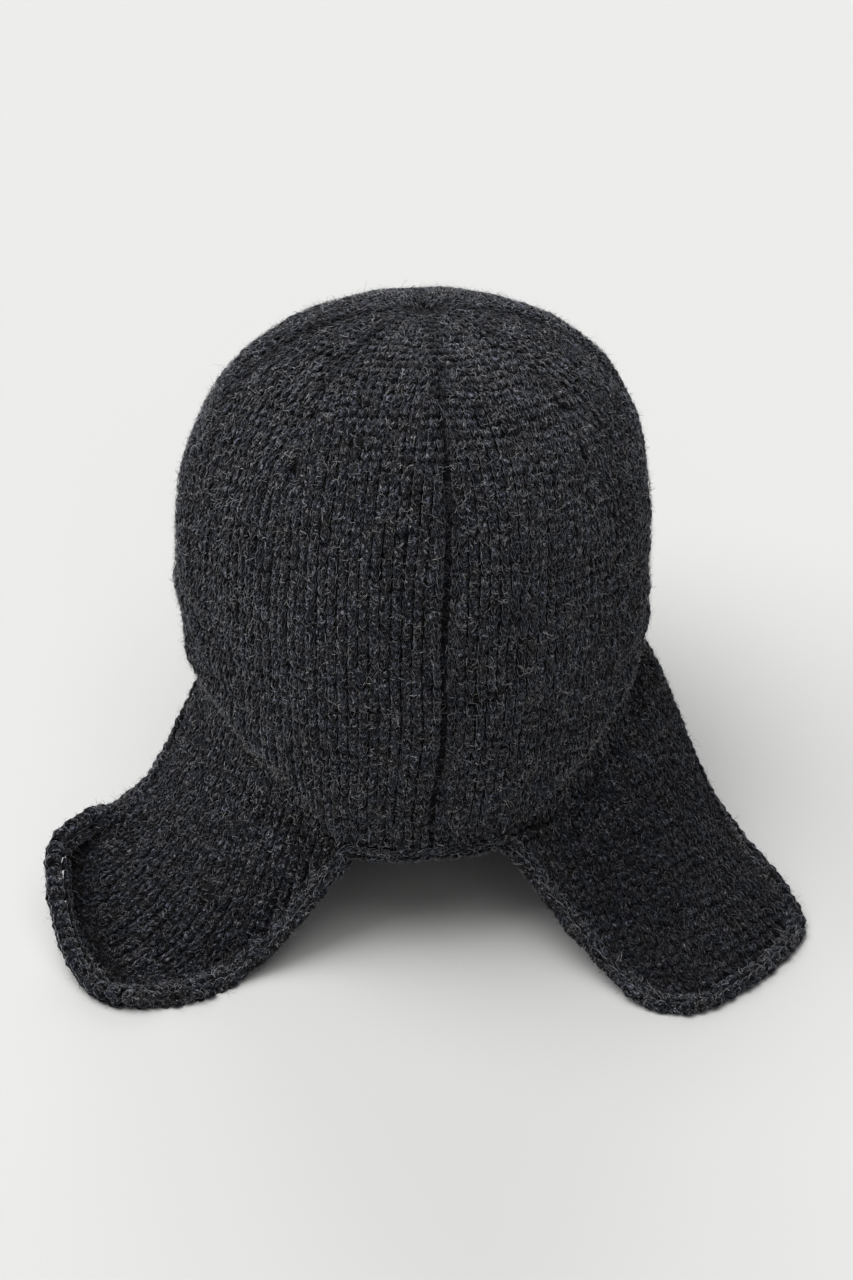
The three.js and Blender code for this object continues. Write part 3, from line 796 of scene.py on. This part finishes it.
def flap_point(flap, across, along):
    """Outer face of an earflap: across runs from its back edge to its front edge, along from its root
    to its end. Each line along it is one cubic that leaves the crown in the crown's direction and
    arrives in the flap's own; quarter ellipses round off the end corners."""
    across, along = np.broadcast_arrays(np.asarray(across, float), np.asarray(along, float))
    first, last = flap["angles"]
    angle = first + (last - first) * across
    root = crown_point(angle, 2.0)
    leave = unit(root - crown_point(angle, above_edge))
    leave = leave + np.array([flap["side"], 0, 0]) * three_rows(flap["splay"], across)[..., None]
    leave = unit(leave) * three_rows(flap["pull"], across)[..., None]
    arrive = unit(three_rows(flap["arrive"], across)) * three_rows(flap["push"], across)[..., None]
    end = three_rows(flap["end"], across)
    back_across, back_along, front_across, front_along = flap["corners"]
    back = np.maximum(1 - across / back_across, 0)
    front = np.maximum(1 - (1 - across) / front_across, 0)
    back_cut = back_along * (1 - np.sqrt(1 - np.minimum(back, 1) ** 2))
    front_cut = front_along * (1 - np.sqrt(1 - np.minimum(front, 1) ** 2))
    t = (along * (1 - (back_cut + front_cut) * along**2))[..., None]
    return cubic(root, leave, end, arrive, t)


def flap_normal(flap, across, along):
    """Outward normal of an earflap, turned from the crown's at the root."""
    across, along = np.broadcast_arrays(np.asarray(across, float), np.asarray(along, float))
    first, last = flap["angles"]

    def surface(a, b):
        return flap_point(flap, a, b)

    safe_across, safe_along = np.clip(across, 0.004, 0.996), np.clip(along, 0.01, 0.99)
    own = -flap["side"] * slope_normal(surface, safe_across, safe_along, 0.004, 0.01)
    root = crown_normal(first + (last - first) * across, np.full(across.shape, 2.0))
    share = ease(along / 0.15)[..., None]
    return unit(root * (1 - share) + own * share)


# Painted shade: the flaps' copy of the yarn is a little darker than the crown's.
flap_wool = wool_material("flap_heather_wool", sheen=0.4, depth=1.2)
flap_growth = 1.16
valley_depth = 0.0026
flap_courses = 40
flap_cloths = {}
for number, (name, flap) in enumerate(earflaps.items()):
    first, last = flap["angles"]
    mine = np.flatnonzero((wale_angle > min(first, last)) & (wale_angle < max(first, last)))
    root_across = (wale_angle[mine] - first) / (last - first)
    steps_along = np.linspace(0, 1, 91)
    steps_across = np.linspace(0, 1, 81)
    lines = flap_point(flap, steps_across[None], steps_along[:, None])
    reach = path_lengths(lines)
    middle = np.array([np.interp(0.5, steps_across, row) for row in reach])
    root_offset = np.interp(root_across, steps_across, reach[0]) - middle[0]
    growth = 1 + (flap_growth - 1) * ease(steps_along * 1.2)
    wanted = middle[:, None] + root_offset[None] * growth[:, None]
    wale_across = np.array([np.interp(w, r, steps_across) for w, r in zip(wanted, reach)]).T
    root_width = np.abs(np.gradient(root_offset))
    clear = 0.35 * root_width[:, None] * growth[None]
    inside = (wanted.T > clear) & (wanted.T < reach[:, -1][None] - clear)
    path = flap_point(flap, wale_across, steps_along[None])
    path_normal = flap_normal(flap, wale_across, steps_along[None] + 0 * wale_across)
    travelled = path_lengths(path)
    gone = lower_total[mine]
    first_course = np.ceil((gone - edge_margin) / course_height - 0.5)
    course_number = first_course[:, None] + 0.5 + np.arange(flap_courses)[None]
    wanted_length = course_number * course_height - gone[:, None]
    places = path_places(travelled, wanted_length)
    here = wanted_length < travelled[:, -1:] - edge_margin
    nearest = np.clip(np.round(places).astype(int), 0, len(steps_along) - 1)
    here &= inside[np.arange(len(mine))[:, None], nearest]
    normal = unit(at_places(path_normal, places))[here]
    up = unit(at_places(path, np.maximum(places - 0.6, 0)) - at_places(path, places + 0.6))[here]
    up = unit(up - (up * normal).sum(-1, keepdims=True) * normal)
    wander = wandering(len(mine), flap_courses, 3, 21 + number)
    grooves = 0.75 * np.clip(0.6 * own_groove[mine] + 0.5 * wander, 0, 1)
    beside = np.roll(grooves, -1, 0)
    to_end = (travelled[:, -1:] - wanted_length)[here]
    valley = bell((to_end - flap["valley_place"]) / flap["valley_half_width"])
    valley = valley * three_rows(flap["valley"], at_places(wale_across, places)[here])
    # Painted shade: each flap's yarn is darkened toward its end, the right flap more, standing in for the
    # light it gets less of, and the valley inside the border is darkened too.
    painted_end_shade = flap["end_shade"] * ease(places[here] / (len(steps_along) - 1) / 0.5)
    flap_cloths[name] = {
        "centre": at_places(path, places)[here] - normal * (valley_depth * valley)[:, None],
        "up": up,
        "normal": normal,
        "width": (root_width[:, None] * at_places(np.repeat(growth[None], len(mine), 0), places))[here],
        "height": np.full(here.sum(), course_height),
        "groove_left": grooves[here],
        "groove_right": beside[here],
        "shade": np.clip(painted_end_shade + 1.1 * valley, 0, 1),
        "pale_fuzz_and_painted_highlight": np.zeros(here.sum()),
    }
    points, triangles, yarn, painted_hollow_shade = stitch_legs(flap_cloths[name], 31 + number)
    points[:, 2] = np.maximum(points[:, 2], 0)
    piece = mesh_piece(f"earflap_stitches_{name}", points, triangles, yarn, painted_hollow_shade, flap_wool)
    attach(piece, "root")
    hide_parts(f"earflap_{name}")

    grid = np.meshgrid(np.linspace(0, 1, 45), np.linspace(0, 1, 48))
    skin, skin_normal = flap_point(flap, *grid), flap_normal(flap, *grid)
    under = skin - (cloth_thickness + purl_relief(*skin.shape[:2])) * skin_normal
    under[..., 2] = np.maximum(under[..., 2], 0)
    top = skin - face_depth * skin_normal
    top[..., 2] = np.maximum(top[..., 2], 0.0004)
    turn = flap["side"] < 0
    backing = wall_piece(f"earflap_wrong_side_{name}", top, under, False, backing_wool, turn)
    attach(backing, "root")
    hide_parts(f"earflap_{name}")

# The border is one run of stitches picked up all round the free edge and cast off at once. It
# makes a low ridge where it was picked up and a chain along its outer edge.

# Painted shade: the border's copy of the yarn is darker than the crown's and the flaps'.
border_wool = wool_material("border_heather_wool", sheen=0.8, depth=0.98)


def flap_side(flap, across, along):
    """Places on an earflap's edge: point, normal, how far the border turns up there and how much
    thicker it is."""
    across, along = np.broadcast_arrays(np.asarray(across, float), np.asarray(along, float))
    curl = np.radians(three_rows(flap["curl"], across)) * ease((along - 0.8) / 0.2)
    swell = flap["lip"] * ease((along - 0.75) / 0.25)
    return flap_point(flap, across, along), flap_normal(flap, across, along), curl, swell


def crown_side(first, last, count):
    """Places on the crown's lower edge between two angles."""
    angle = np.linspace(first, last, count)
    level = np.zeros(count)
    return crown_point(angle, 2.0), crown_normal(angle, level + 2.0), level, level


right, left = earflaps["right"], earflaps["left"]
fine = np.linspace(0, 1, 160)[1:]
end_across = 0.5 - 0.5 * np.cos(np.pi * np.linspace(0, 1, 220)[1:-1])
loop_parts = [
    crown_side(left["angles"][0], right["angles"][0], 80),
    flap_side(right, 0.0, fine),
    flap_side(right, end_across, 1.0),
    flap_side(right, 1.0, fine[::-1]),
    crown_side(right["angles"][1], 180, 120),
    crown_side(-180, left["angles"][1], 120),
    flap_side(left, 1.0, fine),
    flap_side(left, end_across[::-1], 1.0),
    flap_side(left, 0.0, fine[::-1]),
]
loop_point = np.concatenate([part[0] for part in loop_parts])
loop_normal = np.concatenate([part[1] for part in loop_parts])
loop_curl = np.concatenate([part[2] for part in loop_parts])
loop_swell = np.concatenate([part[3] for part in loop_parts])


def rounded(values, passes):
    """A closed run of values, each averaged with its neighbours a number of times."""
    for _ in range(passes):
        values = (np.roll(values, 1, 0) + 2 * values + np.roll(values, -1, 0)) / 4
    return values


closed = np.concatenate([loop_point, loop_point[:1]])[None]
loop_travelled = path_lengths(closed)[0]
edge_length = loop_travelled[-1]
fine_count = 1200
even = np.arange(fine_count) / fine_count * edge_length


def round_loop(values):
    """Values of the loop's places, read at even steps along its length."""
    ends = np.concatenate([values, values[:1]])
    if values.ndim == 1:
        return np.interp(even, loop_travelled, ends)
    return np.stack([np.interp(even, loop_travelled, ends[:, k]) for k in range(values.shape[1])], -1)


ring_point = rounded(round_loop(loop_point), 6)
ring_normal = unit(rounded(round_loop(loop_normal), 12))
ring_curl = rounded(round_loop(loop_curl), 8)
ring_size = 1 + rounded(round_loop(loop_swell), 30)
ring_along = unit(rounded(np.roll(ring_point, -1, 0) - np.roll(ring_point, 1, 0), 6))
ring_out = unit(np.cross(ring_along, ring_normal))
ring_up = unit(np.cross(ring_out, ring_along))
ring_tip_out = ring_out * np.cos(ring_curl)[:, None] + ring_up * np.sin(ring_curl)[:, None]
ring_tip_up = ring_up * np.cos(ring_curl)[:, None] - ring_out * np.sin(ring_curl)[:, None]

# Section of the border's core, in tenths of a millimetre out from the edge and up from the cloth
section_out = np.array([-4, 6, 22, 42, 54, 58, 54, 42, 15, -4]) * 0.0001
section_up = np.array([-22, -8, -11, -13, -19, -24, -31, -36, -37, -34]) * 0.0001
core = (
    ring_point[::2, None]
    + section_out[None, :, None] * (ring_size[:, None] * ring_tip_out)[::2, None]
    + section_up[None, :, None] * (ring_size[:, None] * ring_tip_up)[::2, None]
)
core[..., 2] = np.maximum(core[..., 2], 0)
core_rows, core_columns = core.shape[:2]
core_id = np.arange(core_rows * core_columns).reshape(core_rows, core_columns)
next_row, next_column = np.roll(core_id, -1, 0), np.roll(core_id, -1, 1)
both = np.roll(next_row, -1, 1)
core_faces = np.concatenate(
    [
        np.stack([core_id, next_column, both], -1).reshape(-1, 3),
        np.stack([core_id, both, next_row], -1).reshape(-1, 3),
    ]
)
core_yarn = core.reshape(-1, 3)[:, [0, 2, 1]].copy()
core_yarn[:, 2] = 0.4
# Painted shade: the core lies behind the border's stitches and its colour is darkened.
core_painted_hollow_shade = np.full(core_id.size, 0.8)
core_points = core.reshape(-1, 3)
core_piece = mesh_piece("border_core", core_points, core_faces, core_yarn, core_painted_hollow_shade, backing_wool)
edge_bands = ["edge_band_back", "edge_band_right", "edge_band_front", "edge_band_left"]
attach(core_piece, "root")
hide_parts(*edge_bands)


def at_loop(values, place):
    """Values of the even ring at any place along it, given as a share of its length."""
    index = (place * fine_count).astype(int) % fine_count
    share = (place * fine_count) % 1
    if values.ndim == 2:
        share = share[:, None]
    return values[index] * (1 - share) + values[(index + 1) % fine_count] * share


# Rows of the border's stitches, from the picked-up ridge over the body, the cast-off chain and the
# lower edge to the underside: which way the wales run, how far out and up the centres lie, how
# the cloth faces there, the size along the edge and across it, and how far painted shade darkens them.
border_rows = np.array(
    [
        ("along", 0.0007, 0.0014, 95, 0.0042, 0.0036, 0.00),
        ("across", 0.0032, 0.0003, 88, 0.0043, 0.0034, 0.25),
        ("along", 0.0053, 0.0002, 50, 0.0043, 0.0050, 0.00),
        ("along", 0.0056, -0.0026, -40, 0.0041, 0.0040, 0.20),
        ("across", 0.0028, -0.0040, -90, 0.0043, 0.0036, 0.30),
    ],
    dtype=[("run", "U6")] + [(size, float) for size in ("out", "up", "face", "pitch", "wide", "dark")],
)
border_cloths = []
for row in border_rows:
    count = int(round(edge_length / row["pitch"]))
    place = (np.arange(count) + 0.5) / count
    out, up, along = (unit(at_loop(v, place)) for v in (ring_tip_out, ring_tip_up, ring_along))
    face = np.radians(row["face"])
    normal = np.cos(face) * out + np.sin(face) * up
    step = np.full(count, edge_length / count)
    size = at_loop(ring_size, place)
    wide = row["wide"] * size
    waver = 0.0004 * cloudy(at_loop(ring_point, place), 0.009, 8)[:, None]
    along_edge = row["run"] == "along"
    border_cloths.append(
        {
            "centre": at_loop(ring_point, place)
            + (row["out"] * size[:, None] + waver) * out
            + row["up"] * size[:, None] * up,
            "up": along if along_edge else unit(np.cross(along, normal)),
            "normal": normal,
            "width": wide if along_edge else step,
            "height": step if along_edge else wide,
            "groove_left": np.full(count, 0.3),
            "groove_right": np.full(count, 0.3),
            "shade": np.full(count, row["dark"]),
            # The border's fibres are made evenly paler.
            "pale_fuzz_and_painted_highlight": np.full(count, 0.12),
        }
    )

border_cloth = joined(*border_cloths)
points, triangles, yarn, painted_hollow_shade = stitch_legs(border_cloth, 51, sink=0.0007, plump=0.29)
points[:, 2] = np.maximum(points[:, 2], 0)
border_piece = mesh_piece("border_stitches", points, triangles, yarn, painted_hollow_shade, border_wool)
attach(border_piece, "root")
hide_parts(*edge_bands)

# Loose fibres lie and stand all over the cap, because the wool is carded and brushed by wear. The
# nap lies flat and felts the stitches over, stray hairs curl on top of it, and a halo stands off.
fibre_sizes = ("length", "width", "across", "slope", "spread", "curl", "paleness")
# The halo's paleness is partly a painted highlight, for the light that fuzz standing off the rim catches.
fibre_kinds = np.array(
    [
        ("nap", 2, 0.0017, 0.00020, 0.38, 0.04, 0.06, 0.9, 0.0),
        ("stray", 5, 0.0046, 0.00009, 0.50, 0.10, 0.10, 2.2, 0.3),
        ("halo", 2, 0.0023, 0.00010, 0.50, 0.85, 0.42, 1.0, 0.55),
    ],
    dtype=[("name", "U5"), ("segments", int)] + [(size, float) for size in fibre_sizes],
)


def ribbons(cloth, kind, per_stitch, pale, seed):
    """Fibres as narrow ribbons that taper to a point. The heading turns by the curl over the length,
    so the path is the running sum of its cosine and sine, and the lift is a parabola of the length."""
    rng = np.random.default_rng(seed)
    count = int(len(cloth["centre"]) * per_stitch)
    pick = rng.integers(0, len(cloth["centre"]), count)
    up, normal, centre = (cloth[field][pick] for field in ("up", "normal", "centre"))
    side = np.cross(up, normal)
    off_wale = rng.uniform(-kind["across"], kind["across"], count) * cloth["width"][pick]
    start = centre + side * off_wale[:, None]
    start = start + up * (rng.uniform(-0.5, 0.5, count) * cloth["height"][pick])[:, None]
    start = start + normal * rng.uniform(-0.00045, 0.00005, count)[:, None]
    segments = kind["segments"]
    t = np.arange(segments + 1) / segments
    length = kind["length"] * np.clip(rng.gamma(6.0, 1 / 6, count), 0.3, 2.2)
    curl = rng.normal(0, kind["curl"], (count, 1))
    wave = rng.normal(0, 0.35 * kind["curl"], (count, 1))
    wave = wave * np.sin(2 * np.pi * t[None] + rng.uniform(0, 2 * np.pi, (count, 1)))
    heading = rng.uniform(0, 2 * np.pi, (count, 1)) + curl * t[None] + wave
    step = length[:, None] / segments
    foot = np.zeros((count, 1))
    run = np.concatenate([foot, np.cumsum(np.cos(heading[:, :-1]) * step, 1)], 1)
    veer = np.concatenate([foot, np.cumsum(np.sin(heading[:, :-1]) * step, 1)], 1)
    slope = np.abs(rng.normal(kind["slope"], kind["spread"], (count, 1)))
    lift = slope * length[:, None] * (t - rng.uniform(0.3, 0.8, (count, 1)) * t**2)
    lift = lift + 0.00025 * np.sin(np.pi * t)[None]
    middle = start[:, None] + run[..., None] * up[:, None] + veer[..., None] * side[:, None]
    middle = middle + lift[..., None] * normal[:, None]
    roll = rng.uniform(-0.6, 0.9, (count, 1))
    square = np.cos(heading)[..., None] * side[:, None] - np.sin(heading)[..., None] * up[:, None]
    edge = np.cos(roll)[..., None] * square + np.sin(roll)[..., None] * normal[:, None]
    half = kind["width"] * rng.uniform(0.6, 1.4, (count, 1)) * (1 - 0.45 * t[None]) / 2
    left, right = middle - edge * half[..., None], middle + edge * half[..., None]
    points = np.stack([left[:, :-1], right[:, :-1]], 2).reshape(count, -1, 3)
    points = np.concatenate([points, middle[:, -1:]], 1)
    points[..., 2] = np.maximum(points[..., 2], 0.0001)
    low = 2 * np.arange(segments - 1)
    near_half = np.stack([low, low + 1, low + 3], -1)
    far_half = np.stack([low, low + 3, low + 2], -1)
    strips = np.concatenate([near_half, far_half])
    pattern = np.concatenate([strips, [[2 * segments - 2, 2 * segments - 1, 2 * segments]]])
    triangles = (np.arange(count)[:, None, None] * points.shape[1] + pattern[None]).reshape(-1, 3)
    tone = rng.uniform(0, 1, count) + kind["paleness"] * rng.uniform(0, 1, count)
    # Painted shade darkens the fibres where the cloth is shaded, and the pale fuzz value pales them, with a
    # painted highlight on the roll over the flaps.
    tone = pale * np.clip(tone, 0, 1) * (1 - 0.35 * cloth["shade"][pick])
    tone = np.clip(tone + 0.38 * cloth["pale_fuzz_and_painted_highlight"][pick], 0, 1)
    yarn = np.zeros(points.shape)
    yarn[..., 0] = rng.uniform(0, 1, (count, 1))
    yarn[..., 2] = tone[:, None]
    return points.reshape(-1, 3), triangles, yarn.reshape(-1, 3)


def fibre_material():
    """Single wool fibres: their own shade runs from near-black through grey to a few pale ones."""
    material = bpy.data.materials.new("loose_wool_fibres")
    material.use_nodes = True
    nodes, links = material.node_tree.nodes, material.node_tree.links
    shader = nodes["Principled BSDF"]
    shader.inputs["Roughness"].default_value = 0.8
    shader.inputs["Specular IOR Level"].default_value = 0.2
    read = nodes.new("ShaderNodeAttribute")
    read.attribute_name = "yarn"
    parts = nodes.new("ShaderNodeSeparateXYZ")
    shade = nodes.new("ShaderNodeValToRGB")
    stops = [
        (0.00, (0.002, 0.002, 0.0025)),
        (0.50, (0.012, 0.0122, 0.0140)),
        (0.78, (0.070, 0.0715, 0.0800)),
        (0.93, (0.230, 0.234, 0.250)),
        (1.00, (0.480, 0.480, 0.480)),
    ]
    fill_ramp(shade.color_ramp, stops)
    links.new(read.outputs["Vector"], parts.inputs[0])
    links.new(parts.outputs["Z"], shade.inputs["Fac"])
    links.new(shade.outputs["Color"], shader.inputs["Base Color"])
    return material


fibre_wool = fibre_material()
crown_cloth = joined(*crown_cloths.values())
flap_cloth = joined(*flap_cloths.values())
# How pale the fibres are against the crown's, and how many of each kind there are per stitch, in
# the order nap, stray, halo
fibre_layers = [
    ("crown", crown_cloth, ["crown"], 1.0, (8.0, 0.45, 4.3)),
    ("flap", flap_cloth, ["earflap_left", "earflap_right"], 1.0, (10.0, 0.6, 4.3)),
    ("border", border_cloth, edge_bands, 0.93, (9.0, 0.6, 9.0)),
]
for number, (part, cloth, shown, pale, counts) in enumerate(fibre_layers):
    for order, (kind, per_stitch) in enumerate(zip(fibre_kinds, counts)):
        seed = 71 + 10 * number + order
        points, triangles, yarn = ribbons(cloth, kind, per_stitch, pale, seed)
        bare = np.zeros(len(points))
        name = f"{part}_{kind['name']}_fibres"
        piece = mesh_piece(name, points, triangles, yarn, bare, fibre_wool)
        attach(piece, "root")
        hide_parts(*shown)

# A plain pale studio floor, wide soft light from all round with most from the far left, and
# a camera a little left of the nape and 40 degrees up, at the photograph's framing.

floor_mesh = bpy.data.meshes.new("studio_floor")
floor_reach = 12.0
floor_corners = [(-1, -1, 0), (1, -1, 0), (1, 1, 0), (-1, 1, 0)]
floor_mesh.from_pydata([Vector(corner) * floor_reach for corner in floor_corners], [], [(0, 1, 2, 3)])
floor = scene_object("studio_floor", floor_mesh)
floor_paint = bpy.data.materials.new("pale_floor")
floor_paint.use_nodes = True
floor_shader = floor_paint.node_tree.nodes["Principled BSDF"]
floor_shader.inputs["Base Color"].default_value = (0.61, 0.61, 0.603, 1)
floor_shader.inputs["Roughness"].default_value = 0.9
floor_shader.inputs["Specular IOR Level"].default_value = 0.1
floor_mesh.materials.append(floor_paint)

world = bpy.data.worlds.new("soft_studio")
world.use_nodes = True
world.node_tree.nodes["Background"].inputs["Color"].default_value = (1.0, 1.0, 1.0, 1)
world.node_tree.nodes["Background"].inputs["Strength"].default_value = 0.02
bpy.context.scene.world = world


def faced_from(thing, direction, place):
    """Puts a lamp or the camera at its place and turns it to look back along the direction."""
    thing.location = place
    thing.rotation_mode = "QUATERNION"
    thing.rotation_quaternion = (-direction).to_track_quat("-Z", "Y")


def softbox(name, azimuth, elevation, spread, strength):
    """A distant round softbox: the direction it comes from, its width as an angle, and its strength."""
    data = bpy.data.lights.new(name, "SUN")
    data.angle = np.radians(spread)
    data.energy = strength
    lamp = scene_object(name, data)
    turn, rise = np.radians(azimuth), np.radians(elevation)
    towards = Vector((np.sin(turn) * np.cos(rise), np.cos(turn) * np.cos(rise), np.sin(rise)))
    faced_from(lamp, towards, towards * 3.0)


softbox("overhead_softbox", 0.0, 90.0, 60.0, 1.25)
softbox("left_softbox", -72.0, 60.0, 55.0, 2.45)
softbox("near_softbox", 180.0, 46.0, 60.0, 0.44)
softbox("far_softbox", 0.0, 22.0, 40.0, 1.60)

camera_target = Vector((0.0043, -0.0042, 0.0959))
camera_azimuth = np.radians(-5.0)
camera_elevation = np.radians(40.0)
camera_distance = 1.5
camera_data = bpy.data.cameras.new("camera")
camera_data.lens = 105.9
camera_data.sensor_width = 36.0
camera = scene_object("camera", camera_data)
away = Vector(
    (
        np.sin(camera_azimuth) * np.cos(camera_elevation),
        -np.cos(camera_azimuth) * np.cos(camera_elevation),
        np.sin(camera_elevation),
    )
)
faced_from(camera, away, camera_target + away * camera_distance)
bpy.context.scene.camera = camera
bpy.context.scene.view_settings.view_transform = "Standard"
